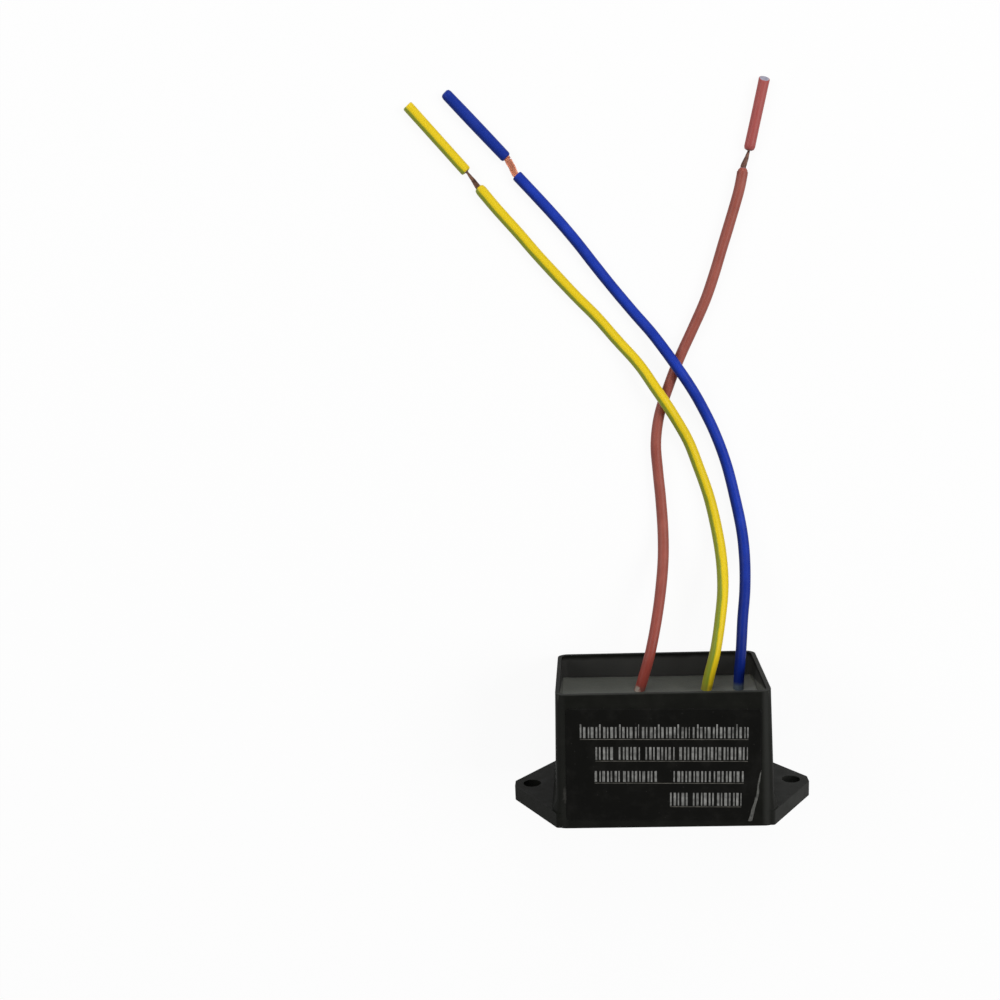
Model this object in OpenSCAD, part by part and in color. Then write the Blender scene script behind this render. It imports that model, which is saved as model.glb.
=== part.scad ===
// Potted surge protection device with two fixing ears and three flying leads.
// The module lies on its back wall: +Z is the way the label faces, +Y is the open, potted end.
// The box and what it holds are drawn upright (X width, Y depth with the label at -Y, Z up from the base)
// and laid down by one transform. The leads are drawn where they lie.

/* [Box] */
// Width of the box at its rim
case_w = 50; // [49:1:60]
// Depth of the box at its rim, from the label to the back wall
case_d = 32; // [31:1:40]
// Height of the box from the base to the rim
case_h = 32; // [31:1:44]
// Draft of the side walls, in degrees
draft = 1.3; // [0.5:0.1:2]
// Lean of the label wall, in degrees
face_lean = 4.6; // [1:0.1:6]
// Draft of the cavity, in degrees
core_draft = 0.5; // [0.2:0.1:1]
// Wall thickness at the rim
wall = 1; // [0.8:0.1:1.6]
// Thickness of the floor
floor_t = 2; // [1.5:0.1:3]
// Radius of the upright corners outside
corner_r = 2.6; // [2:0.1:4]

/* [Ears] */
// Distance from the box's side at the rim to a fixing hole's centre
hole_out = 7; // [5.5:0.5:14]
// Diameter of a fixing hole
hole_d = 4.4; // [3.2:0.1:5]
// Thickness of the base plate and its ears
ear_t = 3.6; // [2.4:0.1:4.5]
// Distance from a hole's centre to the end of its ear
ear_end = 4.2; // [3.6:0.1:5]
// Width of the straight end of an ear
ear_tip_w = 2.8; // [2:0.1:6]
// Radius of the corners at the end of an ear
ear_tip_r = 0.6; // [0.4:0.1:1.4]
// Radius of the base plate's corners at the foot of the box
plate_r = 0.7; // [0.4:0.1:2]
// How far the side walls flare out where they meet the ears
flare_w = 1.4; // [0.4:0.1:2]
// Height of that flare above the ears
flare_h = 3.5; // [1:0.1:6]

/* [Resin] */
// Depth from the rim down to the resin
recess = 6.2; // [5:0.1:7]

/* [Label] */
// Distance from the sticker's side edges to where the wall's corners begin to turn
label_side = 0.1; // [0:0.1:3]
// Distance from the rim to the sticker's top edge
label_drop = 3.5; // [2:0.1:6]
// Distance from the sticker's bottom edge to the base
label_foot = 1.5; // [1:0.1:4]
// Thickness of the sticker
label_t = 0.15; // [0.1:0.01:0.3]
// Radius of the sticker's corners
label_r = 0.8; // [0.4:0.1:1.5]
// How far up the sticker's right edge the missing corner starts
peel_h = 12; // [6:0.1:14]
// How much of the sticker's width is missing at the bottom of that corner
peel_w = 2.7; // [1:0.1:5]
// Share of that width that is missing halfway up
peel_mid = 0.4; // [0.2:0.05:0.5]

/* [Board] */
// Gap between the circuit board and the walls
board_gap = 0.8; // [0.4:0.1:1.2]
// Thickness of the circuit board
board_t = 1.6; // [1:0.1:2]
// Height of the posts that carry the board
post_h = 3.2; // [2.6:0.1:4]
// Width of a post
post_w = 3; // [2:0.1:4]
// Thickness of the copper tracks
track_t = 0.1; // [0.05:0.01:0.2]
// Width of a copper track
track_w = 2; // [1:0.1:2.2]
// How far a track's round pad reaches beyond its solder joint
pad_rim = 0.3; // [0.1:0.05:0.4]
// Diameter of a solder joint at the board
solder_d = 2.2; // [1.8:0.1:2.6]
// Height of a solder joint
solder_h = 1.1; // [0.8:0.1:1.4]
// How far a lead sticks out of its solder joint
pin_tail = 0.2; // [0:0.1:0.5]

/* [Varistors] */
// Diameter of a varistor disc
varistor_d = 15; // [12:0.5:15.5]
// Thickness of a varistor disc
varistor_t = 4.8; // [4:0.1:5.4]
// Distance from the board's left edge to the first varistor
varistor_inset = 2.1; // [1.5:0.1:2.4]
// Gap between a varistor disc and the board
varistor_lift = 1; // [0.5:0.1:1.6]
// Distance between a varistor's two leads
varistor_pitch = 7.5; // [5:0.5:7.5]
// Diameter of the component leads
pin_d = 0.8; // [0.6:0.1:1]
// How much wider a hole in the board is than its lead
pin_clear = 0.2; // [0.1:0.1:0.4]

/* [Gas discharge tube] */
// Diameter of the ceramic body
tube_d = 7.4; // [6:0.1:7.6]
// Length of the ceramic body between the electrodes
tube_l = 4; // [3:0.1:4.4]
// Diameter of an electrode
electrode_d = 8; // [7.7:0.1:8.4]
// Thickness of an electrode
electrode_t = 1; // [0.6:0.1:1.2]
// How far an electrode's lead reaches out before it turns down
electrode_reach = 0.8; // [0.6:0.1:1]
// Gap between an electrode and the board
tube_lift = 0.3; // [0.1:0.1:1]

/* [Thermal fuses] */
// Diameter of a thermal fuse
fuse_d = 4; // [3:0.1:4]
// Length of a thermal fuse
fuse_l = 9.5; // [8:0.1:10]
// Gap between a thermal fuse and the board
fuse_lift = 1; // [0.5:0.1:2]
// How far a fuse's upper lead stands up before it turns
fuse_stem = 1.2; // [0.8:0.1:2]
// Distance between a fuse's axis and its returning lead
fuse_return = 3.6; // [3:0.1:3.8]
// Gap between a fuse and the varistor that it guards
fuse_gap = 0.15; // [0.05:0.05:0.3]

/* [Leads] */
// Diameter of a lead wire over its insulation
wire_d = 2.6; // [2.2:0.1:2.8]
// Diameter of the copper core
core_d = 1.4; // [1:0.1:1.6]
// Length of insulation that is cast into the resin
root_l = 6; // [3:0.5:8]
// How far the core stops short of the tip sleeve's open end
tip_inset = 1.5; // [0.5:0.1:3]

/* [Hidden] */
$fn = 48;

// How far a cut runs past the surface that it opens
past = 1;
// How far a post's foot is sunk in the floor
post_foot = 0.5;
// Thickness of the slices between which a form is stretched, and how far it starts inside the box's faces
slice = 0.01;
sunk = 0.04;
resin_top = case_h - recess;
core_r = corner_r - wall;
hole_spacing = case_w + 2 * hole_out;
ear_half = hole_spacing / 2 + ear_end;
label_w = case_w - 2 * corner_r - 2 * label_side;
label_h = case_h - label_drop - label_foot;

// Half width and front edge of the outside at a height above the base
function side_at(z) = case_w / 2 + (case_h - z) * tan(draft);
function front_at(z) = -case_d / 2 - (case_h - z) * tan(face_lean);
// Half width and half depth of the cavity at a height above the base
function core_side_at(z) = case_w / 2 - wall - (case_h - z) * tan(core_draft);
function core_edge_at(z) = case_d / 2 - wall - (case_h - z) * tan(core_draft);

board_w = 2 * (core_side_at(floor_t) - board_gap);
board_d = 2 * (core_edge_at(floor_t) - board_gap);
board_z = floor_t + post_h;
board_top = board_z + board_t;
track_z = board_z - track_t;
pin_z = track_z - solder_h - pin_tail;

// Height of the wires' undersides at the resin, and the wires' places along the width
exit_rise = 10.9;
brown_x = -4.8;
earth_x = 11.7;
blue_x = 19.6;
wire_y = case_d / 2 - exit_rise - wire_d / 2;

// The three varistors, standing across the width
varistor_z = board_top + varistor_lift + varistor_d / 2;
varistor_skew = varistor_t / 2 - pin_d;
varistor_grip = 2;
varistor_line_neutral_x = -board_w / 2 + varistor_inset + varistor_t / 2;
varistor_line_earth_x = -10.6;
varistor_neutral_earth_x = 2.5;
varistor_places = [varistor_line_neutral_x, varistor_line_earth_x, varistor_neutral_earth_x];

// The gas discharge tube, between the earth and the neutral wire
tube_x = 15.4;
tube_y = -8;
tube_z = board_top + tube_lift + electrode_d / 2;
electrode_out = tube_l / 2 + electrode_t;
tube_pin_out = electrode_out + electrode_reach;

// The thermal fuses, each beside the varistor that it guards
fuse_y = -4.4;
fuse_z = board_top + fuse_lift;
fuse_line_x = varistor_line_earth_x + varistor_t / 2 + fuse_gap + fuse_d / 2;
fuse_neutral_x = varistor_neutral_earth_x + varistor_t / 2 + fuse_gap + fuse_d / 2;

// Places of the leads in the board
function varistor_pin(x, s) = [x + s * varistor_skew, s * varistor_pitch / 2];
function fuse_pin(x, end) = [x, fuse_y - end * fuse_return];
function tube_pin(s) = [tube_x + s * tube_pin_out, tube_y];
brown_pin = [brown_x, wire_y];
earth_pin = [earth_x, wire_y];
blue_pin = [blue_x, wire_y];
// Every lead that passes through the board, with its diameter
component_pins = concat(
    [for (x = varistor_places) for (s = [-1, 1]) varistor_pin(x, s)],
    [for (s = [-1, 1]) tube_pin(s)],
    [for (x = [fuse_line_x, fuse_neutral_x]) for (e = [0, 1]) fuse_pin(x, e)]);
pins = concat(
    [for (p = component_pins) [p[0], p[1], pin_d]],
    [for (p = [brown_pin, earth_pin, blue_pin]) [p[0], p[1], core_d]]);
// Taper of a solder joint towards its tip
solder_tip = 0.4;
function joint_d(p) = solder_d + p[2] - pin_d;

// Step between the lanes in which the tracks pass each other, and the lane along the front edge
lane = 3.4;
edge_clear = 1;
front_lane = -board_d / 2 + edge_clear + track_w / 2;
// Corners of the six tracks: line, fused line, fused neutral, the varistors' common point, neutral, earth
track_runs = [
    [brown_pin, fuse_pin(fuse_line_x, 0)],
    [fuse_pin(fuse_line_x, 1), varistor_pin(varistor_line_earth_x, -1),
     varistor_pin(varistor_line_neutral_x, -1)],
    [varistor_pin(varistor_line_neutral_x, 1), [varistor_line_neutral_x + lane, wire_y + 2 * lane],
     [varistor_neutral_earth_x, wire_y + 2 * lane], varistor_pin(varistor_neutral_earth_x, 1),
     [varistor_pin(varistor_neutral_earth_x, 1)[0], fuse_y - track_w / 2], fuse_pin(fuse_neutral_x, 1)],
    [varistor_pin(varistor_line_earth_x, 1), [brown_x - lane, wire_y + lane], [brown_x + lane, wire_y + lane],
     [brown_x + lane, 0], varistor_pin(varistor_neutral_earth_x, -1),
     [varistor_pin(varistor_neutral_earth_x, -1)[0], front_lane], [tube_pin(1)[0] - lane, front_lane],
     tube_pin(1)],
    [fuse_pin(fuse_neutral_x, 0), [earth_x - lane, wire_y + lane], [blue_x - lane, wire_y + lane], blue_pin],
    [earth_pin, tube_pin(-1)]];

// Height to which a wire rises where it passes over another, and the gap that is left between them
hop_clear = 0.3;
hop = wire_d + hop_clear;
// Routes of the three wires, as across, out from the rim, and the wire's underside above the surface
brown_route = [[brown_x, -recess, exit_rise], [-3.5, -2, exit_rise], [-1.8, 4, 10.6], [-0.2, 11, 8.7],
               [1.1, 18, 5.9], [2, 25, 2.9], [2.2, 32, 0.8], [1.8, 40, 0], [1.2, 47, 0], [0.8, 54, 0],
               [1.8, 61.1, 0], [4.3, 68.4, 0], [6.9, 74.8, 0], [10, 81.3, 0], [13, 87.8, 0],
               [15.2, 93.9, 0], [17.1, 100, 0], [19, 106, 0], [21.1, 113, 0], [22.1, 118, 0]];
earth_route = [[earth_x, -recess, exit_rise], [12.6, -2, exit_rise], [14.1, 4, 10.6], [15.4, 11, 8.7],
               [16.4, 18, 5.9], [16.4, 25, 2.9], [15.4, 32.5, 0.8], [13.6, 40.5, 0], [10.9, 48.5, 0.2],
               [8.4, 54.9, 0.3 * hop], [4.4, 62, 0.9 * hop], [0.9, 67.4, hop], [-3.1, 73.4, 0.5 * hop],
               [-8.2, 79.3, 0], [-13, 85, 0], [-17.7, 89.9, 0], [-22.4, 95.1, 0], [-26.8, 100.1, 0],
               [-31.1, 105.3, 0], [-36, 111, 0], [-40.1, 116.1, 0]];
blue_route = [[blue_x, -recess, exit_rise], [19.8, -2, exit_rise], [20.3, 4, 10.6], [20.9, 11, 8.7],
              [21.8, 18, 5.9], [22.1, 25, 2.9], [21.6, 32, 0.8], [19.9, 40.6, 0], [17.9, 48.6, 0],
              [15.2, 56.1, 0.1], [12.1, 62.6, 0.3 * hop], [9, 68, 0.9 * hop], [5, 74, hop],
              [0.4, 80.4, 0.5 * hop], [-4.2, 85.9, 0.1], [-8.9, 91.7, 0], [-13, 97, 0], [-17.3, 102.7, 0],
              [-21.8, 108.2, 0], [-26.2, 113.2, 0], [-31, 118.5, 0]];
// Start and open end of the sleeve left on each wire's tip
brown_tip = [[23.4, 121.9, 0], [27.1, 138.3, 0]];
earth_tip = [[-42.8, 119.8, 0], [-56.2, 135.4, 0]];
blue_tip = [[-33.2, 122.5, 0], [-47.3, 137.9, 0]];
wire_sides = 8;
core_sides = 12;
// How far the bare core stays straight at each end of its gap
knee_out = 1;

function unit(v) = v / norm(v);
// Direction of a route at its point i, where start is its direction at the first point
function heading(p, i, start) =
    i == 0 ? start :
    i == len(p) - 1 ? unit(p[i] - p[i - 1]) :
    unit(unit(p[i + 1] - p[i]) + unit(p[i] - p[i - 1]));
function ring_side(p, i, start) = unit(cross(heading(p, i, start), [0, 0, 1]));
function ring_up(p, i, start) = cross(ring_side(p, i, start), heading(p, i, start));
function tube_points(p, start, r, n) =
    [for (i = [0 : len(p) - 1]) for (k = [0 : n - 1])
        p[i] + r * cos(k * 360 / n) * ring_side(p, i, start) + r * sin(k * 360 / n) * ring_up(p, i, start)];
function tube_faces(rings, n) = concat(
    [[for (k = [0 : n - 1]) k]],
    [for (i = [0 : rings - 2]) for (k = [0 : n - 1])
        [i * n + k, (i + 1) * n + k, (i + 1) * n + (k + 1) % n]],
    [for (i = [0 : rings - 2]) for (k = [0 : n - 1])
        [i * n + k, (i + 1) * n + (k + 1) % n, i * n + (k + 1) % n]],
    [[for (k = [n - 1 : -1 : 0]) (rings - 1) * n + k]]);

// Lays an upright shape on its back wall
module laid_down() {
    translate([0, -case_h / 2, case_d / 2])
        rotate([-90, 0, 0])
            children();
}

// Sets a wire's shape out from the rim and lays it on the surface
module from_rim() {
    translate([0, case_h / 2, wire_d / 2])
        children();
}

// A rounded rectangle, given by its half width and its front and back edges
module plan(side, front, back, r) {
    hull()
        for (x = [-side + r, side - r], y = [front + r, back - r])
            translate([x, y])
                circle(r, $fn = 32);
}

// The drafted outside: three walls lean in towards the rim, and the back wall is square to the base
module outside() {
    base_d = case_d / 2 - front_at(0);
    translate([0, case_d / 2, 0])
        linear_extrude(case_h, slices = 1, scale = [case_w / (2 * side_at(0)), case_d / base_d])
            plan(side_at(0), -base_d, 0, corner_r);
}

// The base plate's outline: the foot of the box and both ears
module plate_plan() {
    corner_x = side_at(0) - plate_r;
    tip_x = ear_half - ear_tip_r;
    hull() {
        for (x = [-corner_x, corner_x], y = [front_at(ear_t) + sunk + plate_r, case_d / 2 - plate_r])
            translate([x, y])
                circle(plate_r, $fn = 32);
        for (x = [-tip_x, tip_x], y = [-ear_tip_w / 2, ear_tip_w / 2])
            translate([x, y])
                circle(ear_tip_r, $fn = 32);
    }
}

// Where the side walls flare out to the ears, from the ears' top up to the plain wall
module root_flare() {
    flare_x = side_at(ear_t) + flare_w;
    flare_top = ear_t + flare_h;
    hull() {
        translate([0, 0, ear_t / 2])
            linear_extrude(slice)
                intersection() {
                    offset(-sunk)
                        plate_plan();
                    translate([-flare_x, -case_d])
                        square([2 * flare_x, 2 * case_d]);
                }
        translate([0, 0, flare_top - slice])
            linear_extrude(slice)
                plan(side_at(flare_top) - sunk, front_at(flare_top) + sunk, case_d / 2 - sunk, corner_r);
    }
}

// The space inside the box, from the floor to a little above the rim
module cavity() {
    top = case_h + past;
    widening = core_side_at(top) / core_side_at(floor_t);
    deepening = core_edge_at(top) / core_edge_at(floor_t);
    translate([0, 0, floor_t])
        linear_extrude(top - floor_t, slices = 1, scale = [widening, deepening])
            plan(core_side_at(floor_t), -core_edge_at(floor_t), core_edge_at(floor_t), core_r);
}

module board_posts() {
    for (x = [-1, 1], y = [-1, 1])
        translate([x * (board_w - post_w) / 2, y * (board_d - post_w) / 2, floor_t - post_foot])
            linear_extrude(post_h + post_foot)
                square(post_w, center = true);
}

module pin(place, top) {
    translate([place[0], place[1], pin_z])
        cylinder(h = top - pin_z, d = pin_d, $fn = 24);
}

module varistor(x) {
    translate([x, 0, varistor_z])
        rotate([0, 90, 0])
            rotate_extrude() {
                translate([0, -varistor_t / 2])
                    square([varistor_d / 2 - varistor_t / 2, varistor_t]);
                intersection() {
                    translate([varistor_d / 2 - varistor_t / 2, 0])
                        circle(varistor_t / 2, $fn = 32);
                    translate([0, -varistor_t / 2])
                        square([varistor_d / 2, varistor_t]);
                }
            }
    for (s = [-1, 1])
        pin(varistor_pin(x, s), varistor_z - varistor_grip);
}

module tube_ceramic() {
    translate([tube_x - tube_l / 2, tube_y, tube_z])
        rotate([0, 90, 0])
            cylinder(h = tube_l, d = tube_d);
}

module tube_electrodes() {
    for (s = [-1, 1]) {
        translate([tube_x + s * (tube_l / 2 + electrode_t / 2), tube_y, tube_z])
            rotate([0, 90, 0])
                cylinder(h = electrode_t, d = electrode_d, center = true);
        translate([tube_x + s * (electrode_out + tube_pin_out) / 2, tube_y, tube_z])
            rotate([0, 90, 0])
                cylinder(h = tube_pin_out - electrode_out, d = pin_d, center = true, $fn = 24);
        translate([tube_x + s * tube_pin_out, tube_y, tube_z])
            sphere(d = pin_d, $fn = 24);
        pin(tube_pin(s), tube_z);
    }
}

module thermal_fuse(x) {
    stem_z = fuse_z + fuse_l + fuse_stem;
    translate([x, fuse_y, fuse_z])
        cylinder(h = fuse_l, d = fuse_d);
    pin(fuse_pin(x, 0), stem_z);
    pin(fuse_pin(x, 1), stem_z);
    for (y = [fuse_y, fuse_y - fuse_return])
        translate([x, y, stem_z])
            sphere(d = pin_d, $fn = 24);
    translate([x, fuse_y, stem_z])
        rotate([90, 0, 0])
            cylinder(h = fuse_return, d = pin_d, $fn = 24);
}

module roots() {
    for (x = [brown_x, earth_x, blue_x])
        translate([x, wire_y, resin_top - root_l])
            cylinder(h = root_l, d = wire_d);
}

module root_cores() {
    for (x = [brown_x, earth_x, blue_x])
        translate([x, wire_y, pin_z])
            cylinder(h = resin_top - root_l - pin_z, d = core_d);
}

module board_blank() {
    translate([-board_w / 2, -board_d / 2, board_z])
        cube([board_w, board_d, board_t]);
}

module board() {
    difference() {
        board_blank();
        for (p = pins)
            translate([p[0], p[1], board_z - past])
                cylinder(h = board_t + 2 * past, d = p[2] + pin_clear, $fn = 24);
    }
}

module track(a, b) {
    run = b - a;
    translate([a[0], a[1], track_z])
        rotate([0, 0, atan2(run[1], run[0])]) {
            translate([0, -track_w / 2, 0])
                cube([norm(run), track_w, track_t]);
            cylinder(h = track_t, d = track_w);
            translate([norm(run), 0, 0])
                cylinder(h = track_t, d = track_w);
        }
}

module track_blanks() {
    for (t = track_runs)
        for (i = [1 : len(t) - 1])
            track(t[i - 1], t[i]);
    for (p = pins)
        translate([p[0], p[1], track_z])
            cylinder(h = track_t, d = joint_d(p) + 2 * pad_rim);
}

module tracks() {
    difference() {
        track_blanks();
        for (p = pins)
            translate([p[0], p[1], track_z - past])
                cylinder(h = track_t + 2 * past, d = p[2] + pin_clear, $fn = 24);
    }
}

module joint(p) {
    translate([p[0], p[1], track_z - solder_h])
        cylinder(h = solder_h, d1 = p[2] + solder_tip, d2 = joint_d(p));
}

module solder() {
    for (p = pins)
        difference() {
            joint(p);
            translate([p[0], p[1], track_z - solder_h - past])
                cylinder(h = solder_h + 2 * past, d = p[2], $fn = 24);
        }
}

// Everything that the resin is cast round
module inner_parts() {
    board_blank();
    track_blanks();
    for (p = pins)
        joint(p);
    for (x = varistor_places)
        varistor(x);
    tube_ceramic();
    tube_electrodes();
    thermal_fuse(fuse_line_x);
    thermal_fuse(fuse_neutral_x);
    roots();
    root_cores();
}

module tube(route, start, d, sides) {
    polyhedron(tube_points(route, start, d / 2, sides), tube_faces(len(route), sides), convexity = 10);
}

module insulation(route) {
    from_rim()
        tube(route, [0, 1, 0], wire_d, wire_sides);
}

module rod(a, b, d) {
    run = b - a;
    translate(a)
        rotate([0, 90, atan2(run[1], run[0])])
            cylinder(h = norm(run), d = d, $fn = 32);
}

// The bare core from the insulation's end into the tip sleeve, straight at both and bent between them
module bare_core(route, tip) {
    end = route[len(route) - 1];
    start = unit(end - route[len(route) - 2]);
    along = unit(tip[1] - tip[0]);
    from_rim()
        tube([end, end + knee_out * start, tip[0] - knee_out * along, tip[0], tip[1] - tip_inset * along],
             start, core_d, core_sides);
}

module tip_sleeve(tip) {
    along = unit(tip[1] - tip[0]);
    from_rim()
        difference() {
            rod(tip[0], tip[1], wire_d);
            rod(tip[0] - past * along, tip[1] + past * along, core_d);
        }
}

// The sticker, its top edge along the X axis, without the corner that is torn off
module label_outline() {
    side = label_w / 2;
    difference() {
        translate([label_r - side, label_r - label_h])
            offset(label_r)
                square([label_w - 2 * label_r, label_h - 2 * label_r]);
        polygon([[side + past, peel_h - label_h], [side, peel_h - label_h],
                 [side - peel_mid * peel_w, peel_h / 2 - label_h], [side - peel_w, -past - label_h],
                 [side + past, -past - label_h]]);
    }
}

module case() {
    color([0.12, 0.12, 0.12])
        laid_down() {
            difference() {
                union() {
                    outside();
                    linear_extrude(ear_t)
                        plate_plan();
                    root_flare();
                }
                cavity();
                for (hand = [-1, 1])
                    translate([hand * hole_spacing / 2, 0, -past])
                        cylinder(h = ear_t + 2 * past, d = hole_d);
            }
            board_posts();
        }
}

module potting_compound() {
    color([0.28, 0.28, 0.27])
        laid_down()
            difference() {
                intersection() {
                    cavity();
                    translate([-case_w, -case_d, 0])
                        cube([2 * case_w, 2 * case_d, resin_top]);
                }
                board_posts();
                inner_parts();
            }
}

module front_label() {
    color([0.08, 0.08, 0.07])
        laid_down()
            translate([0, -case_d / 2, case_h])
                rotate([-face_lean, 0, 0])
                    translate([0, 0, -label_drop])
                        rotate([90, 0, 0])
                            linear_extrude(label_t)
                                label_outline();
}

module circuit_board() {
    color([0.1, 0.36, 0.2])
        laid_down()
            board();
}

module copper_tracks() {
    color([0.75, 0.45, 0.2])
        laid_down()
            tracks();
}

module solder_joints() {
    color([0.75, 0.76, 0.78])
        laid_down()
            solder();
}

module varistor_line_neutral() {
    color([0.13, 0.33, 0.62])
        laid_down()
            varistor(varistor_line_neutral_x);
}

module varistor_neutral_earth() {
    color([0.13, 0.33, 0.62])
        laid_down()
            varistor(varistor_neutral_earth_x);
}

module varistor_line_earth() {
    color([0.13, 0.33, 0.62])
        laid_down()
            varistor(varistor_line_earth_x);
}

module gas_tube_ceramic() {
    color([0.9, 0.87, 0.85])
        laid_down()
            tube_ceramic();
}

module gas_tube_electrodes() {
    color([0.78, 0.78, 0.8])
        laid_down()
            tube_electrodes();
}

module thermal_fuse_line() {
    color([0.7, 0.62, 0.5])
        laid_down()
            thermal_fuse(fuse_line_x);
}

module thermal_fuse_neutral() {
    color([0.7, 0.62, 0.5])
        laid_down()
            thermal_fuse(fuse_neutral_x);
}

module lead_roots() {
    color([0.5, 0.4, 0.35])
        laid_down()
            roots();
}

module lead_root_cores() {
    color([0.75, 0.43, 0.31])
        laid_down()
            root_cores();
}

module brown_wire_insulation() {
    color([0.59, 0.32, 0.28])
        insulation(brown_route);
}

module brown_wire_core() {
    color([0.75, 0.43, 0.31])
        bare_core(brown_route, brown_tip);
}

module brown_tip_sleeve() {
    color([0.59, 0.32, 0.28])
        tip_sleeve(brown_tip);
}

module earth_wire_insulation() {
    color([0.75, 0.75, 0.2])
        insulation(earth_route);
}

module earth_wire_core() {
    color([0.75, 0.43, 0.31])
        bare_core(earth_route, earth_tip);
}

module earth_tip_sleeve() {
    color([0.75, 0.75, 0.2])
        tip_sleeve(earth_tip);
}

module blue_wire_insulation() {
    color([0.15, 0.24, 0.63])
        insulation(blue_route);
}

module blue_wire_core() {
    color([0.75, 0.43, 0.31])
        bare_core(blue_route, blue_tip);
}

module blue_tip_sleeve() {
    color([0.15, 0.24, 0.63])
        tip_sleeve(blue_tip);
}

case();
potting_compound();
front_label();
circuit_board();
copper_tracks();
solder_joints();
varistor_line_neutral();
varistor_neutral_earth();
varistor_line_earth();
gas_tube_ceramic();
gas_tube_electrodes();
thermal_fuse_line();
thermal_fuse_neutral();
lead_roots();
lead_root_cores();
brown_wire_insulation();
brown_wire_core();
brown_tip_sleeve();
earth_wire_insulation();
earth_wire_core();
earth_tip_sleeve();
blue_wire_insulation();
blue_wire_core();
blue_tip_sleeve();
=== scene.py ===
import math
import bmesh
import bpy
from mathutils import Matrix, Vector, geometry, noise


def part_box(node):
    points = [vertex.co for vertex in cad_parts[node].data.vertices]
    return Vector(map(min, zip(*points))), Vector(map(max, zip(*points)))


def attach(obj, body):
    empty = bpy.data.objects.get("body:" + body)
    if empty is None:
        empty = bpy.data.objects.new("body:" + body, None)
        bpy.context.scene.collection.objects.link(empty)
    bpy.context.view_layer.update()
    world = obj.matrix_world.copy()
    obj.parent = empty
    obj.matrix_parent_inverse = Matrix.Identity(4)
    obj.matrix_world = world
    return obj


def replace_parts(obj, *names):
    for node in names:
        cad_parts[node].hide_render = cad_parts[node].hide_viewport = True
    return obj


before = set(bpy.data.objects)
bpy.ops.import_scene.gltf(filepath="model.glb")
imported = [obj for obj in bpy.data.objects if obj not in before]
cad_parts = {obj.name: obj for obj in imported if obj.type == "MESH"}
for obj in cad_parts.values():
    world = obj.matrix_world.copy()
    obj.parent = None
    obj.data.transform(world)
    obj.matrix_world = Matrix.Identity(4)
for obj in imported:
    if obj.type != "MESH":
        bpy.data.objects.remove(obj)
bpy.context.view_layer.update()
scene = bpy.context.scene
mm = 0.001
shown = []  # every piece that this script makes


# Camera

cameraSettings = {
    "place": (-0.014874, 0.109322, 0.301578),
    "aim": (-0.031206, 0.043685, 0.0),
    "roll": -167.849,  # degrees about the line of sight
    "lens": 44.03,
    "sensor": 36.0,
    "shift": (-0.03, 0.05),
    "clip": (0.01, 10.0),
}


def makeCamera(settings):
    data = bpy.data.cameras.new("viewCamera")
    data.lens = settings["lens"]
    data.sensor_width = settings["sensor"]
    data.shift_x, data.shift_y = settings["shift"]
    data.clip_start, data.clip_end = settings["clip"]
    camera = bpy.data.objects.new("viewCamera", data)
    scene.collection.objects.link(camera)
    sight = Vector(settings["aim"]) - Vector(settings["place"])
    toAim = sight.to_track_quat("-Z", "Y").to_matrix().to_4x4()
    roll = Matrix.Rotation(math.radians(settings["roll"]), 4, "Z")
    camera.matrix_world = Matrix.Translation(settings["place"]) @ toAim @ roll
    scene.camera = camera


makeCamera(cameraSettings)
print("stage: camera")


# Shader helpers

patternSettings = {
    "grain": (3.0, 0.6),  # detail and roughness of the noise
    "blotches": (4.0, 0.55),
    "blotchRange": (0.3, 0.7),  # of the noise, spread from none to all
    "waverDetail": 3.0,
    "waverRange": (0.2, 0.8),
    "speckScale": 1400.0,
    "speckPick": (0.9, 0.93),  # the few cells that hold a speck
    "speckEdge": (0.22, 0.1),
    "dustFilm": (260.0, 5.0, 0.65),  # scale, detail and roughness
    "dustRange": (0.5, 0.8),
    "dustShare": 0.35,
    "dustRoughness": 0.25,  # that full dust adds
    "dustTone": (0.3, 0.29, 0.27),
    "spotScale": 1500.0,
    "spotWaver": 0.4,  # of a spot's size, as is its core
    "spotCore": 0.5,
}


def feed(tree, socket, value):
    if isinstance(value, bpy.types.NodeSocket):
        tree.links.new(value, socket)
    else:
        socket.default_value = value


def put(tree, kind, inputs=None, **options):
    node = tree.nodes.new(kind)
    for option, value in options.items():
        setattr(node, option, value)
    for name, value in (inputs or {}).items():
        feed(tree, node.inputs[name], value)
    return node


def sums(tree, operation, a, b=0.0):
    return put(tree, "ShaderNodeMath", {0: a, 1: b}, operation=operation).outputs[0]


def product(tree, result, *others):
    for other in others:
        result = sums(tree, "MULTIPLY", result, other)
    return result


def spread(tree, value, low, high, start=0.0, end=1.0):
    ranges = {"Value": value, "From Min": low, "From Max": high, "To Min": start, "To Max": end}
    return put(tree, "ShaderNodeMapRange", ranges).outputs[0]


def blendColours(tree, share, a, b):
    return put(tree, "ShaderNodeMix", {0: share, 6: a, 7: b}, data_type="RGBA").outputs[2]


def colour(red, green, blue):
    return (red, green, blue, 1.0)


def noiseOf(tree, place, scale, detail=2.0, roughness=0.5):
    values = {"Vector": place, "Scale": scale, "Detail": detail, "Roughness": roughness}
    return put(tree, "ShaderNodeTexNoise", values).outputs[0]


def newGroup(name, inputs, outputs):
    # Its first input is the place that its patterns are read at, and all the others are numbers
    group = bpy.data.node_groups.new(name, "ShaderNodeTree")
    group.interface.new_socket(name="Place", in_out="INPUT", socket_type="NodeSocketVector")
    for label in inputs:
        group.interface.new_socket(name=label, in_out="INPUT", socket_type="NodeSocketFloat")
    for label in outputs:
        group.interface.new_socket(name=label, in_out="OUTPUT", socket_type="NodeSocketFloat")
    return group, group.nodes.new("NodeGroupInput").outputs, group.nodes.new("NodeGroupOutput").inputs


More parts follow.
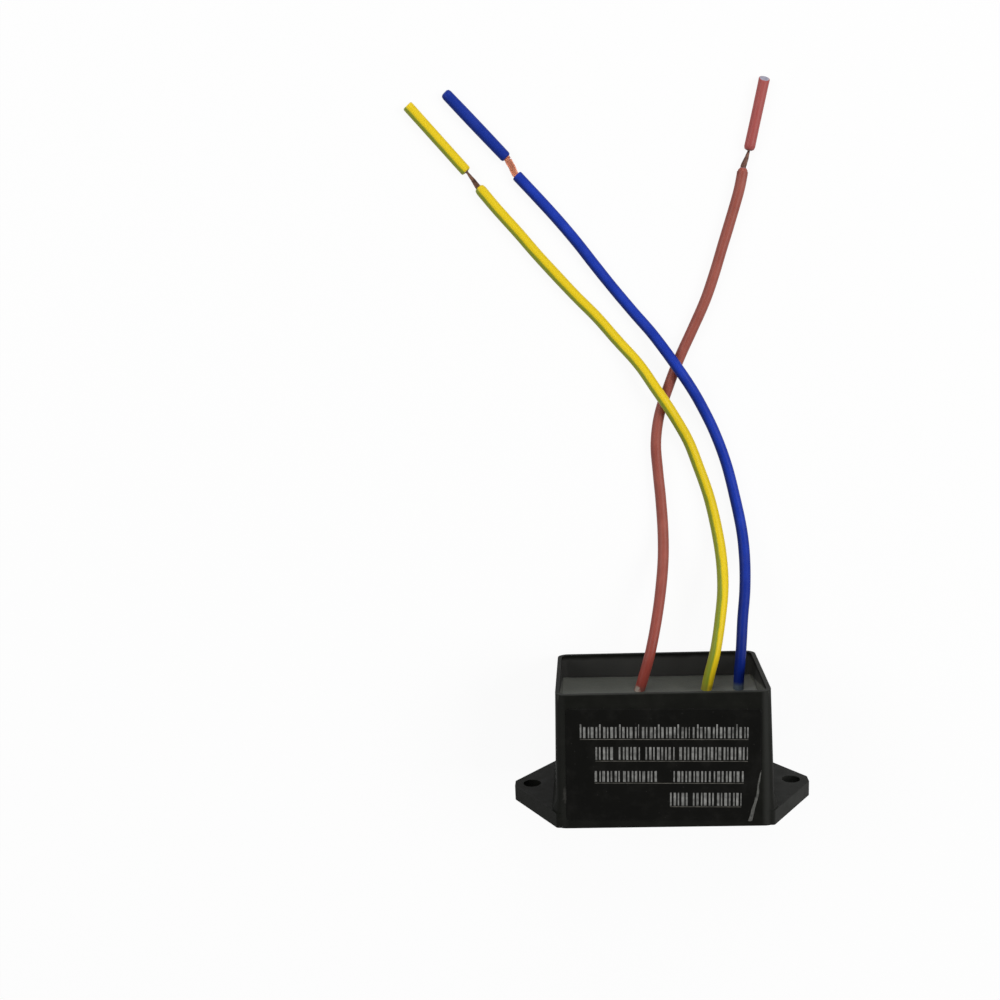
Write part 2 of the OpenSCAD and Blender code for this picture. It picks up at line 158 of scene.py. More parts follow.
def makeGrainGroup(settings):
    # Fine grain of a moulded or cast surface, and slow blotches over it
    group, given, result = newGroup("surfaceGrain", ["Grain Size", "Blotch Size"], ["Height", "Blotch"])
    fine, slow = (sums(group, "DIVIDE", 1.0, given[size]) for size in ("Grain Size", "Blotch Size"))
    blotch = noiseOf(group, given["Place"], slow, *settings["blotches"])
    group.links.new(noiseOf(group, given["Place"], fine, *settings["grain"]), result["Height"])
    group.links.new(spread(group, blotch, *settings["blotchRange"]), result["Blotch"])
    return group


def makeDustGroup(settings):
    # Pale specks and a thin film of dust, both patchy
    group, given, result = newGroup("settledDust", ["Amount"], ["Mask"])
    values = {"Vector": given["Place"], "Scale": settings["speckScale"]}
    cells = put(group, "ShaderNodeTexVoronoi", values).outputs
    drawn = put(group, "ShaderNodeSeparateColor", {0: cells["Color"]}).outputs[0]
    speck = product(group, spread(group, cells["Distance"], *settings["speckEdge"]),
                    spread(group, drawn, *settings["speckPick"]))
    film = noiseOf(group, given["Place"], *settings["dustFilm"])
    film = spread(group, film, *settings["dustRange"], 0.0, settings["dustShare"])
    group.links.new(product(group, sums(group, "MAXIMUM", speck, film), given["Amount"]), result["Mask"])
    return group


grainGroup = makeGrainGroup(patternSettings)
dustGroup = makeDustGroup(patternSettings)


class Finish:
    # A material in the making: its tree, its shader and the place that its patterns are read at
    def __init__(self, name, settings, place=None):
        self.material = bpy.data.materials.new(name)
        self.material.use_nodes = True
        self.tree = self.material.node_tree
        self.shader = self.tree.nodes["Principled BSDF"]
        self.settings = settings
        if place:
            self.place = put(self.tree, "ShaderNodeAttribute", attribute_name=place).outputs["Vector"]
        else:
            self.place = put(self.tree, "ShaderNodeTexCoord").outputs["Object"]
        self.set("Roughness", settings["roughness"][0])
        self.set("Metallic", settings.get("metallic", 0.0))
        self.set("Specular IOR Level", settings.get("specular", 0.5))

    def set(self, name, value):
        feed(self.tree, self.shader.inputs[name], value)

    def axes(self):
        return put(self.tree, "ShaderNodeSeparateXYZ", {0: self.place}).outputs

    def effect(self, group, values):
        return put(self.tree, "ShaderNodeGroup", dict(values, Place=self.place), node_tree=group).outputs

    def grain(self):
        sizes = {"Grain Size": self.settings["grain"], "Blotch Size": self.settings["blotch"]}
        made = self.effect(grainGroup, sizes)
        return made["Height"], made["Blotch"]

    def dust(self):
        return self.effect(dustGroup, {"Amount": self.settings.get("dust", 0.0)})["Mask"]

    def waver(self, scale, reach):
        # Uneven by up to the reach each way
        uneven = noiseOf(self.tree, self.place, scale, patternSettings["waverDetail"])
        return spread(self.tree, uneven, *patternSettings["waverRange"], -reach, reach)

    def ramp(self, value, name):
        return spread(self.tree, value, *self.settings[name])

    def mottled(self, blotch):
        tones = (colour(*self.settings[name]) for name in ("dark", "light"))
        return blendColours(self.tree, blotch, *tones)

    def tint(self, base, mask, name):
        # Towards the tone of that name where the mask is one, wholly or by the share of that name
        mask = product(self.tree, mask, self.settings.get(name + "Share", 1.0))
        return blendColours(self.tree, mask, base, colour(*self.settings[name + "Tone"]))

    def spot(self, name):
        # One near the spot's centre, with a ragged edge, and drawn out along an axis that is squeezed
        centre, size = self.settings[name], self.settings[name + "Size"]
        squeeze = self.settings.get(name + "Squeeze", (1.0, 1.0, 1.0))
        squeezed = put(self.tree, "ShaderNodeVectorMath", {0: self.place, 1: squeeze}, operation="MULTIPLY")
        ends = {0: squeezed.outputs["Vector"], 1: tuple(c * s for c, s in zip(centre, squeeze))}
        away = put(self.tree, "ShaderNodeVectorMath", ends, operation="DISTANCE").outputs["Value"]
        ragged = self.waver(patternSettings["spotScale"], patternSettings["spotWaver"] * size)
        away = sums(self.tree, "ADD", away, ragged)
        return spread(self.tree, away, size, patternSettings["spotCore"] * size)

    def surface(self, base, height, blotch, dust):
        dustTone = self.settings.get("dustTone", patternSettings["dustTone"])
        rough = spread(self.tree, blotch, 0.0, 1.0, *self.settings["roughness"])
        added = product(self.tree, dust, patternSettings["dustRoughness"])
        relief = {"Height": height, "Distance": self.settings["depth"], "Strength": 1.0}
        self.set("Base Color", blendColours(self.tree, dust, base, colour(*dustTone)))
        self.set("Roughness", sums(self.tree, "ADD", rough, added))
        self.set("Normal", put(self.tree, "ShaderNodeBump", relief).outputs[0])
        return self.material


plainKeys = ("dark", "light", "roughness", "grain", "blotch", "depth", "specular", "metallic")


def plainFinish(name, settings):
    # Two close tones in blotches, with grain and a little dust, from settings or a row of plain values
    if isinstance(settings, tuple):
        settings = dict(zip(plainKeys, settings))
    finish = Finish(name, settings)
    height, blotch = finish.grain()
    return finish.surface(finish.mottled(blotch), height, blotch, finish.dust())


# Lead wires

leadSettings = {
    "diameter": 0.0026,
    "core": 0.0014,
    "play": 0.00003,  # round the strands inside the insulation
    "rim": 0.016,  # how far the open end lies from the middle of the module
    "sides": 28,
    "ringStep": 0.0009,
    "uneven": (160, 0.012),  # of the insulation's thickness, how often and how much
    "fullest": (0.036, 0.018, 0.07),  # where it is thickest, over what length and by what share
    "rimBend": 0.3,  # how far the middle ring of a rounded end lies from its face, of the whole rounding
    "hollow": 0.0012,  # how deep the open end of the insulation is
    "sharp": 50,  # degrees from which an edge is sharp
    "strands": 14,
    "strandSize": 0.00028,
    "strandSides": 7,
    "strandStep": 0.0004,
    "strandDrift": (400, 0.18, 3.7),  # how often, how much, and how far the strands' patterns lie apart
    "lay": 0.013,  # length in which the strands turn once
    "tipInset": 0.0015,
    "knee": 0.0004,
    "regain": 0.002,  # length inside the slug in which squeezed strands fill it again
    "heart": 0.72,  # of the bundle's size, filled by strands that don't show
    "slugStart": 0.2,  # where the slug's own places along the wire start
    "slugUneven": (250, 0.015),
    "slugCuts": 20,
    "slantFrom": 0.88,  # share of the slug's length from which it slants
    "faceOn": 0.95,  # how squarely a face looks along the slug to be a cut one
    "plug": (0.0006, 0.00002),  # depth and bore of the pressed end that closes the far end of the slug
}
hop = 0.0029  # how high a lead rises where it crosses another

# Each route's points are across, out from the rim, and the underside above the surface. The rounded ends
# are given as far in and as far along: of the insulation, and of the slug's near and far end. The slug has
# a slant cut and a swell across, and the strands are squeezed at it to a share of their width and height,
# more or less suddenly.
leads = {
    "brown": {
        "route": [(-0.0048, -0.0062, 0.0109), (-0.0035, -0.002, 0.0109), (-0.0018, 0.004, 0.0106),
                  (-0.0002, 0.011, 0.0087), (0.0011, 0.018, 0.0059), (0.002, 0.025, 0.0029),
                  (0.0022, 0.032, 0.0008), (0.0018, 0.04, 0), (0.0012, 0.047, 0), (0.0008, 0.054, 0),
                  (0.0018, 0.0611, 0), (0.0043, 0.0684, 0), (0.0069, 0.0748, 0), (0.01, 0.0813, 0),
                  (0.013, 0.0878, 0), (0.0152, 0.0939, 0), (0.0171, 0.1, 0), (0.019, 0.106, 0),
                  (0.0211, 0.113, 0), (0.0221, 0.118, 0)],
        "tip": [(0.0234, 0.1219, 0), (0.0271, 0.1383, 0)],
        "girth": 1.0, "slant": 0.6, "swell": -0.03, "pinch": (0.22, 0.3, 1.4),
        "round": {"end": (0.0006, 0.0018), "near": (0.00054, 0.0008), "far": (0.0002, 0.0002)},
    },
    "earth": {
        "route": [(0.0117, -0.0062, 0.0109), (0.0126, -0.002, 0.0109), (0.0141, 0.004, 0.0106),
                  (0.0154, 0.011, 0.0087), (0.0164, 0.018, 0.0059), (0.0164, 0.025, 0.0029),
                  (0.0154, 0.0325, 0.0008), (0.0136, 0.0405, 0), (0.0109, 0.0485, 0.0002),
                  (0.0084, 0.0549, 0.3 * hop), (0.0044, 0.062, 0.9 * hop), (0.0009, 0.0674, hop),
                  (-0.0031, 0.0734, 0.5 * hop), (-0.0082, 0.0793, 0), (-0.013, 0.085, 0),
                  (-0.0177, 0.0899, 0), (-0.0224, 0.0951, 0), (-0.0268, 0.1001, 0), (-0.0311, 0.1053, 0),
                  (-0.036, 0.111, 0), (-0.0401, 0.1161, 0)],
        "tip": [(-0.0428, 0.1198, 0), (-0.0562, 0.1354, 0)],
        "girth": 1.03, "slant": 0.2, "swell": 0.0, "pinch": (0.2, 0.34, 1.1),
        "round": {"end": (0.0005, 0.001), "near": (0.0003, 0.0004), "far": (0.0003, 0.0004)},
    },
    "blue": {
        "route": [(0.0196, -0.0062, 0.0109), (0.0198, -0.002, 0.0109), (0.0203, 0.004, 0.0106),
                  (0.0209, 0.011, 0.0087), (0.0218, 0.018, 0.0059), (0.0221, 0.025, 0.0029),
                  (0.0216, 0.032, 0.0008), (0.0199, 0.0406, 0), (0.0179, 0.0486, 0),
                  (0.0152, 0.0561, 0.0001), (0.0121, 0.0626, 0.3 * hop), (0.009, 0.068, 0.9 * hop),
                  (0.005, 0.074, hop), (0.0004, 0.0804, 0.5 * hop), (-0.0042, 0.0859, 0.0001),
                  (-0.0089, 0.0917, 0), (-0.013, 0.097, 0), (-0.0173, 0.1027, 0), (-0.0218, 0.1082, 0),
                  (-0.0262, 0.1132, 0), (-0.031, 0.1185, 0)],
        "tip": [(-0.0332, 0.1225, 0), (-0.0473, 0.1379, 0)],
        "girth": 1.0, "slant": 0.25, "swell": 0.05, "pinch": (1.27, 0.5, 0.3),
        "round": {"end": (0.0003, 0.0003), "near": (0.0004, 0.0005), "far": (0.00054, 0.001)},
    },
}


def onSurface(point):
    return Vector((point[0], point[1] + leadSettings["rim"], point[2] + leadSettings["diameter"] / 2))


def smoothLine(points, step, floor=None, betweenPoints=13):
    # An even line through all the points, kept above the floor height
    fine = []
    for i in range(len(points) - 1):
        before, after = points[max(i - 1, 0)], points[min(i + 2, len(points) - 1)]
        first = points[i] + (points[i + 1] - before) / 6
        second = points[i + 1] - (after - points[i]) / 6
        fine += geometry.interpolate_bezier(points[i], first, second, points[i + 1], betweenPoints)[:-1]
    fine.append(points[-1])
    if floor is not None:
        fine = [Vector((p.x, p.y, max(p.z, floor))) for p in fine]
    lengths = [(b - a).length for a, b in zip(fine, fine[1:])]
    count = round(sum(lengths) / step)
    line, at, done = [], 0, 0.0
    for i in range(count):
        target = sum(lengths) * i / count
        while done + lengths[at] < target:
            done += lengths[at]
            at += 1
        line.append(fine[at].lerp(fine[at + 1], (target - done) / lengths[at]))
    return line + [fine[-1]]


def lineLength(line):
    return sum((b - a).length for a, b in zip(line, line[1:]))


def framesAlong(line):
    # X to the right of the way that the line runs, Y upwards, Z along it
    found = []
    for i, point in enumerate(line):
        ahead = (line[min(i + 1, len(line) - 1)] - line[max(i - 1, 0)]).normalized()
        right = ahead.cross(Vector((0, 0, 1))).normalized()
        turn = Matrix((right, right.cross(ahead), ahead)).transposed().to_4x4()
        found.append(Matrix.Translation(point) @ turn)
    return found


def sweep(bm, frames, radii, sides, along, cutFrom=None):
    # Carries a ring along the frames, and writes for each point its place on the straightened skin
    layer = bm.verts.layers.float_vector.get("skinPlace") or bm.verts.layers.float_vector.new("skinPlace")
    ring = bmesh.ops.create_circle(bm, cap_ends=True, segments=sides, radius=1.0)["verts"]
    edges = list({edge for vert in ring for edge in vert.link_edges})
    last = Matrix.Identity(4)
    for i, (place, radius) in enumerate(zip(frames, radii)):
        if i:
            made = bmesh.ops.extrude_edge_only(bm, edges=edges)["geom"]
            ring = [part for part in made if isinstance(part, bmesh.types.BMVert)]
            inRing = set(ring)
            edges = [part for part in made
                     if isinstance(part, bmesh.types.BMEdge) and set(part.verts) <= inRing]
            if cutFrom is not None and i > cutFrom:
                for face in {face for edge in edges for face in edge.link_faces}:
                    face.material_index = 1
        here = place @ Matrix.Diagonal((radius, radius, 1, 1))
        bmesh.ops.transform(bm, matrix=here @ last.inverted(), verts=ring)
        toFrame = place.inverted()
        for vert in ring:
            local = toFrame @ vert.co
            vert[layer] = (local.x, local.y, along[i])
        last = here
    bmesh.ops.edgeloop_fill(bm, edges=edges)


def finishPiece(bm, name, materials, smooth=True):
    bmesh.ops.recalc_face_normals(bm, faces=bm.faces)
    mesh = bpy.data.meshes.new(name)
    bm.to_mesh(mesh)
    bm.free()
    piece = bpy.data.objects.new(name, mesh)
    scene.collection.objects.link(piece)
    for material in materials:
        mesh.materials.append(material)
    if smooth:
        mesh.shade_smooth()
    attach(piece, "root")
    shown.append(piece)
    return piece


# The side and shade tones of each wire are painted shade
skinSettings = {
    "all": {"grain": 0.0005, "blotch": 0.005,
            "left": (-0.0003, -0.0011), "right": (0.0008, 0.00125, 0.0, 0.6),  # places across the wire
            "slug": (0.18, 0.19),  # places along it, between the end of the insulation and the slug
            "film": (0.0018, 0.0008), "filmNoise": (900.0, 3.0)},
    "brown": {"dark": (0.255, 0.062, 0.044), "light": (0.325, 0.088, 0.064), "roughness": (0.36, 0.46),
              "depth": 0.00003, "dust": 0.12, "specular": 0.18,
              "filmReach": 0.0006, "filmShare": 0.5, "filmTone": (0.12, 0.07, 0.055),
              "sideShare": 0.4, "sideTone": (0.17, 0.045, 0.035),
              "shade": (0.034, 0.0), "shadeShare": 0.75, "shadeTone": (0.24, 0.034, 0.025),
              "slugShare": 0.6, "slugTone": (0.377, 0.075, 0.077),
              "spot": (-0.0008, 0.001, 0.0005), "spotSize": 0.0011, "spotShare": 0.85,
              "spotTone": (0.38, 0.33, 0.28)},
    "earth": {"dark": (0.74, 0.54, 0.01), "light": (0.17, 0.255, 0.022), "roughness": (0.34, 0.44),
              "depth": 0.000006, "dust": 0.006, "specular": 0.15,
              "filmReach": 0.0006, "filmShare": 0.45, "filmTone": (0.25, 0.2, 0.03),
              "sideShare": 0.25, "sideTone": (0.5, 0.36, 0.03),
              "shade": (0.02, 0.0), "shadeShare": 0.12, "shadeTone": (0.3, 0.2, 0.01)},
    "blue": {"dark": (0.008, 0.03, 0.3), "light": (0.014, 0.045, 0.4), "roughness": (0.34, 0.44),
             "depth": 0.00003, "dust": 0.06, "specular": 0.08,
             "filmReach": 0.0008, "filmShare": 0.85, "filmTone": (0.085, 0.11, 0.12),
             "sideShare": 0.8, "sideTone": (0.004, 0.012, 0.12),
             "shade": (0.045, 0.0), "shadeShare": 0.9, "shadeTone": (0.002, 0.01, 0.105),
             "slugShare": 0.6, "slugTone": (0.006, 0.023, 0.2)},
}
stripeSettings = {
    "stripes": [(152.0, 42.0), (300.0, 34.0)],  # middle and half width, in degrees from the right side up
    "soft": 9.0,
    "twist": 20.0,  # at the module, lessening to nothing along the reach
    "twistReach": 0.035,
    "wander": 7.0,
    "wanderScale": 350.0,
}


def stripeMask(finish, settings):
    tree = finish.tree
    x, y, z = finish.axes()
    degrees = product(tree, sums(tree, "ARCTAN2", y, x), 180 / math.pi)
    degrees = sums(tree, "MODULO", sums(tree, "ADD", degrees, 360.0), 360.0)
    uneven = noiseOf(tree, finish.place, settings["wanderScale"])
    wander = spread(tree, uneven, 0.0, 1.0, -settings["wander"], settings["wander"])
    twist = spread(tree, z, 0.0, settings["twistReach"], settings["twist"], 0.0)
    degrees = sums(tree, "ADD", sums(tree, "ADD", degrees, wander), twist)
    mask, soft = 0.0, settings["soft"]
    for middle, half in settings["stripes"]:
        off = sums(tree, "ABSOLUTE", sums(tree, "SUBTRACT", degrees, middle))
        mask = sums(tree, "MAXIMUM", mask, spread(tree, off, half + soft, half - soft))
    return mask


def skinFinish(name):
    finish = Finish(name + "Skin", {**skinSettings["all"], **skinSettings[name]}, "skinPlace")
    tree, settings, ramp = finish.tree, finish.settings, finish.ramp
    height, blotch = finish.grain()
    # The light tone of the earth wire is its green stripe
    base = finish.mottled(stripeMask(finish, stripeSettings) if name == "earth" else blotch)
    # Painted shade makes the sides darker than the back of the wire, the left one most
    across, _, along = finish.axes()
    base = finish.tint(base, sums(tree, "MAXIMUM", ramp(across, "left"), ramp(across, "right")), "side")
    # Painted shade also darkens the insulation towards the module, and the slug on the tip has a tone of its
    # own
    base = finish.tint(base, ramp(along, "shade"), "shade")
    if "slugTone" in settings:
        base = finish.tint(base, ramp(along, "slug"), "slug")
    # Resin is smeared on the wire where it comes out
    edge = product(tree, noiseOf(tree, finish.place, *settings["filmNoise"]), settings["filmReach"])
    base = finish.tint(base, ramp(sums(tree, "SUBTRACT", along, edge), "film"), "film")
    if "spot" in settings:
        base = finish.tint(base, finish.spot("spot"), "spot")
    return finish.surface(base, height, blotch, finish.dust())


# Rows of plain values, of which the wires share all but the two tones
cutSettings = {
    "brown": ((0.2, 0.19, 0.26), (0.36, 0.35, 0.44)),
    "earth": ((0.5, 0.42, 0.12), (0.66, 0.58, 0.2)),
    "blue": ((0.05, 0.08, 0.3), (0.1, 0.15, 0.42)),
    "all": ((0.5, 0.65), 0.00015, 0.0006, 0.00005),
}
copperSettings = {
    "brown": ((0.06, 0.032, 0.025), (0.14, 0.075, 0.058)),
    "earth": ((0.06, 0.034, 0.025), (0.17, 0.09, 0.06)),
    "blue": ((0.36, 0.12, 0.07), (0.52, 0.22, 0.14)),
    "all": ((0.26, 0.42), 0.0002, 0.0012, 0.00001, 0.5, 1.0),
}


def makeInsulation(name, lead, line, materials):
    radius = lead["girth"] * leadSettings["diameter"] / 2
    inner = leadSettings["core"] / 2 + leadSettings["play"]
    often, much = leadSettings["uneven"]
    middle, reach, growth = leadSettings["fullest"]
    frames = framesAlong(line)
    radii, along, run = [], [], 0.0
    for i, point in enumerate(line):
        run += (point - line[i - 1]).length if i else 0.0
        wobble = noise.noise(Vector((run * often, len(name), 0)))
        fuller = growth * math.exp(-((run - middle) / reach) ** 2)
        radii.append(radius * (1 + much * wobble + fuller))
        along.append(run)
        # A thicker ring is lifted, so that it still lies on the surface
        frames[i] = Matrix.Translation((0, 0, max(0.0, radii[i] - point.z))) @ frames[i]
    # In place of the last ring come a rounded rim, the cut face and the short open hollow
    end = frames.pop()
    del radii[-1], along[-1]
    inward, drawn = lead["round"]["end"]
    bend = leadSettings["rimBend"]
    for inside, size in ((drawn, radius), (bend * drawn, radius - bend * inward), (0.0, radius - inward),
                         (0.0, inner), (leadSettings["hollow"], inner)):
        frames.append(end @ Matrix.Translation((0, 0, -inside)))
        radii.append(size)
        along.append(run - inside)
    bm = bmesh.new()
    sweep(bm, frames, radii, leadSettings["sides"], along, cutFrom=len(line) + 1)
    piece = finishPiece(bm, name + "_lead_insulation", materials)
    piece.data.set_sharp_from_angle(angle=math.radians(leadSettings["sharp"]))
    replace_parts(piece, name + "_wire_insulation")
    return piece


def makeStrands(name, lead, line, tip):
    # Twisted strands from inside the insulation, across the gap and through the slug on the tip
    hollow, knee, step = leadSettings["hollow"], leadSettings["knee"], leadSettings["strandStep"]
    along = (tip[1] - tip[0]).normalized()
    start = (line[-1] - line[-2]).normalized()
    core = smoothLine([line[-1] - hollow * start, line[-1], line[-1] + knee * start,
                       tip[0] - knee * along, tip[0], tip[0].lerp(tip[1], 0.5),
                       tip[1] - leadSettings["tipInset"] * along], step)
    frames = framesAlong(core)
    gap = hollow + (tip[0] - line[-1]).length
    outer = leadSettings["core"] / 2 - leadSettings["strandSize"] / 2
    across, upwards, bend = lead["pinch"]
    often, much, apart = leadSettings["strandDrift"]
    count, fill = leadSettings["strands"], leadSettings["heart"]
    bm = bmesh.new()
    for k in range(count):
        # The first is the heart of the bundle, one thick bar
        heart = k == 0
        phase = 2 * math.pi * k / (count - 1)
        ring, run = [], 0.0
        for i, place in enumerate(frames):
            run += (core[i] - core[i - 1]).length if i else 0.0
            share = min(max((run - hollow) / (gap - hollow), 0.0), 1.0)
            squeeze = share ** bend * (1 - min(max((run - gap) / leadSettings["regain"], 0.0), 1.0))
            width = outer * (1 + (across - 1) * squeeze)
            height = outer * (1 + (upwards - 1) * squeeze)
            if heart:
                ring.append(place @ Matrix.Diagonal((fill * width, fill * height, 1, 1)))
                continue
            reach = 1 + much * noise.noise(Vector((k * apart, run * often, 0)))
            angle = phase + 2 * math.pi * run / leadSettings["lay"]
            offset = Vector((width * reach * math.cos(angle), height * reach * math.sin(angle), 0))
            ring.append(place @ Matrix.Translation(offset))
        size = 1.0 if heart else leadSettings["strandSize"] / 2
        sides = leadSettings["sides"] if heart else leadSettings["strandSides"]
        sweep(bm, ring, [size] * len(ring), sides, [step * i for i in range(len(ring))])
    copper = plainFinish(name + "Copper", copperSettings[name] + copperSettings["all"])
    piece = finishPiece(bm, name + "_copper_strands", [copper])
    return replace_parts(piece, name + "_wire_core")


def makeTipSleeve(name, lead, tip, materials):
    # A tube spun from its section, swollen a little across and cut at a slant at its far end
    length = (tip[1] - tip[0]).length
    outer = leadSettings["diameter"] / 2
    inner = leadSettings["core"] / 2 + leadSettings["play"]
    plug, bore = leadSettings["plug"]
    bend = leadSettings["rimBend"]
    (near, nearLong), (far, farLong) = lead["round"]["near"], lead["round"]["far"]
    section = [(inner, 0.0), (outer - near, 0.0), (outer - bend * near, bend * nearLong), (outer, nearLong),
               (outer, length - farLong), (outer - bend * far, length - bend * farLong),
               (outer - far, length), (bore, length), (bore, length - plug), (inner, length - plug)]
    bm = bmesh.new()
    corners = [bm.verts.new((x, 0, z)) for x, z in section]
    sides = [bm.edges.new((corners[i], corners[(i + 1) % len(corners)])) for i in range(len(corners))]
    longSides = [sides[3], sides[9]]
    bmesh.ops.subdivide_edges(bm, edges=longSides, cuts=leadSettings["slugCuts"])
    bmesh.ops.spin(bm, geom=bm.verts[:] + bm.edges[:], cent=(0, 0, 0), axis=(0, 0, 1), angle=2 * math.pi,
                   steps=leadSettings["sides"], use_merge=True, use_duplicate=False)
    bmesh.ops.remove_doubles(bm, verts=bm.verts, dist=0.001 * mm)
    bm.normal_update()
    for face in bm.faces:
        if abs(face.normal.z) > leadSettings["faceOn"]:
            face.material_index = 1
    layer = bm.verts.layers.float_vector.new("skinPlace")
    often, much = leadSettings["slugUneven"]
    slantFrom = leadSettings["slantFrom"]
    for vert in bm.verts:
        share = vert.co.z / length
        vert[layer] = (vert.co.x, vert.co.y, leadSettings["slugStart"] + vert.co.z)
        swell = 1 + much * noise.noise(Vector((vert.co.z * often, len(name) * 2.0, 1)))
        slanted = max(0.0, (share - slantFrom) / (1 - slantFrom))
        vert.co.z -= slanted * lead["slant"] * (vert.co.y + outer)
        vert.co.x *= swell + lead["swell"] * math.sin(math.pi * share)
        vert.co.y *= swell
    bmesh.ops.transform(bm, matrix=framesAlong(tip)[0], verts=bm.verts)
    piece = finishPiece(bm, name + "_end_sleeve", materials)
    piece.data.set_sharp_from_angle(angle=math.radians(leadSettings["sharp"]))
    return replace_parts(piece, name + "_tip_sleeve")


def makeLead(name, lead):
    radius = leadSettings["diameter"] / 2
    line = smoothLine([onSurface(p) for p in lead["route"]], leadSettings["ringStep"], radius)
    tip = [onSurface(p) for p in lead["tip"]]
    materials = [skinFinish(name), plainFinish(name + "CutEnd", cutSettings[name] + cutSettings["all"])]
    insulation = makeInsulation(name, lead, line, materials)
    strands = makeStrands(name, lead, line, tip)
    sleeve = makeTipSleeve(name, lead, tip, materials)
    print("lead", name, "insulated length in mm", round(lineLength(line) / mm, 1))


for leadName, leadData in leads.items():
    makeLead(leadName, leadData)
print("stage: leads")


# Moulded case

caseSettings = {
    "edge": 0.00028,  # radius of the moulded edges
    "edgeSegments": 3,
    "edgeFrom": 32,  # degrees from which an edge is rounded
    "flat": 1.0,  # degrees within which faces are one
    "dark": (0.0051, 0.0053, 0.0044), "light": (0.0077, 0.008, 0.0066),
    "roughness": (0.4, 0.54), "grain": 0.00022, "blotch": 0.004, "depth": 0.000012, "dust": 0.1,
    "specular": 0.028,
    "dustTone": (0.08, 0.078, 0.072),
    # The room between the walls, from a little below the resin
    "insideLow": (0.0007, 0.0008), "insideHigh": (0.0314, 0.0313),
    "insideHalf": (0.0244, 0.0243), "insideFrom": (0.0089, 0.009),
    "wavy": (240.0, 0.0003),
    # Painted light on the walls inside, below a wavy height
    "film": (0.0155, 0.0146), "filmTone": (0.034, 0.034, 0.032),
    # Painted light on the side walls inside, below a line that rises towards the sticker's wall
    "paintedSideLightLine": (0.0101, 0.002, 0.195),  # height on the side walls, where, and its rise from there
    "paintedSideLight": (0.0002, -0.0002), "paintedSideLightWaver": 0.8, "paintedSideLightFrom": (0.0226, 0.0229),
    "paintedSideLightTone": (0.12, 0.124, 0.112),
    # Painted light on the rim
    "rim": (0.01575, 0.01595), "rimPatches": (0.0, 0.6, 0.6, 1.0), "rimTone": (0.02, 0.0205, 0.018),
    "rimAcross": (0.0236, 0.0238), "rimAbove": (0.03, 0.0304),
    # Painted light on the corners and the right ear
    "corner": (0.0224, 0.0233), "cornerEnd": (0.0247, 0.0239, 0.2, 1.0), "cornerAbove": (0.027, 0.03),
    "cornerAcross": (-0.01, 0.01, 0.3, 1.0), "cornerTone": (0.021, 0.0215, 0.0195),
    "ear": (0.0245, 0.0255), "earTop": (-0.0118, -0.0122), "earTone": (0.0175, 0.018, 0.0162),
    "offBase": (-0.0159, -0.0157),
    # A painted glint on the left corner
    "paintedGlint": (-0.0233, -0.0077, 0.034), "paintedGlintSize": 0.0007, "paintedGlintSqueeze": (1.0, 0.3, 1.0),
    "paintedGlintShare": 0.5, "paintedGlintTone": (0.05, 0.048, 0.044),
}


def caseFinish(settings):
    finish = Finish("casePlastic", settings)
    tree, ramp = finish.tree, finish.ramp
    height, blotch = finish.grain()
    base = finish.mottled(blotch)
    x, y, z = finish.axes()
    aside = sums(tree, "ABSOLUTE", x)
    # Painted light makes the walls inside paler, from a little below the resin up to a wavy height under the
    # rim
    within = product(tree, ramp(z, "insideLow"), ramp(z, "insideHigh"), ramp(aside, "insideHalf"),
                     ramp(y, "insideFrom"))
    wavy = finish.waver(*settings["wavy"])
    base = finish.tint(base, product(tree, ramp(sums(tree, "ADD", y, wavy), "film"), within), "film")
    # More painted light on the side walls inside, reaching higher towards the wall with the sticker
    level, at, rise = settings["paintedSideLightLine"]
    line = sums(tree, "ADD", product(tree, z, rise), level - at * rise)
    past = sums(tree, "ADD", sums(tree, "SUBTRACT", y, line), product(tree, wavy, settings["paintedSideLightWaver"]))
    base = finish.tint(base, product(tree, ramp(past, "paintedSideLight"), within, ramp(aside, "paintedSideLightFrom")), "paintedSideLight")
    # Painted light on the rim, in patches, at its right and along the wall with the sticker
    side = sums(tree, "MAXIMUM", ramp(x, "rimAcross"), ramp(z, "rimAbove"))
    base = finish.tint(base, product(tree, ramp(y, "rim"), ramp(blotch, "rimPatches"), side), "rim")
    # Painted light makes the rounded corners beside the sticker, more at the right, and the right ear paler,
    # but not on the underside
    offBase = ramp(y, "offBase")
    corner = product(tree, ramp(aside, "corner"), ramp(aside, "cornerEnd"), ramp(z, "cornerAbove"),
                     ramp(x, "cornerAcross"), offBase)
    base = finish.tint(base, corner, "corner")
    base = finish.tint(base, product(tree, ramp(x, "ear"), ramp(y, "earTop"), offBase), "ear")
    # A painted glint low on the left corner beside the sticker, drawn out along the case's height
    base = finish.tint(base, finish.spot("paintedGlint"), "paintedGlint")
    return finish.surface(base, height, blotch, finish.dust())


def makeCase(settings):
    bm = bmesh.new()
    bm.from_mesh(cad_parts["case"].data)
    bmesh.ops.remove_doubles(bm, verts=bm.verts, dist=0.002 * mm)
    bmesh.ops.dissolve_limit(bm, angle_limit=math.radians(settings["flat"]), verts=bm.verts, edges=bm.edges)
    piece = finishPiece(bm, "moulded_case", [caseFinish(settings)])
    bevel = piece.modifiers.new("edges", "BEVEL")
    bevel.width = settings["edge"]
    bevel.segments = settings["edgeSegments"]
    bevel.limit_method = "ANGLE"
    bevel.angle_limit = math.radians(settings["edgeFrom"])
    bevel.use_clamp_overlap = True
    bevel.harden_normals = True
    even = piece.modifiers.new("evenNormals", "WEIGHTED_NORMAL")
    even.mode = "FACE_AREA"
    even.keep_sharp = True
    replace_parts(piece, "case")


makeCase(caseSettings)
print("stage: case")


# Resin surface

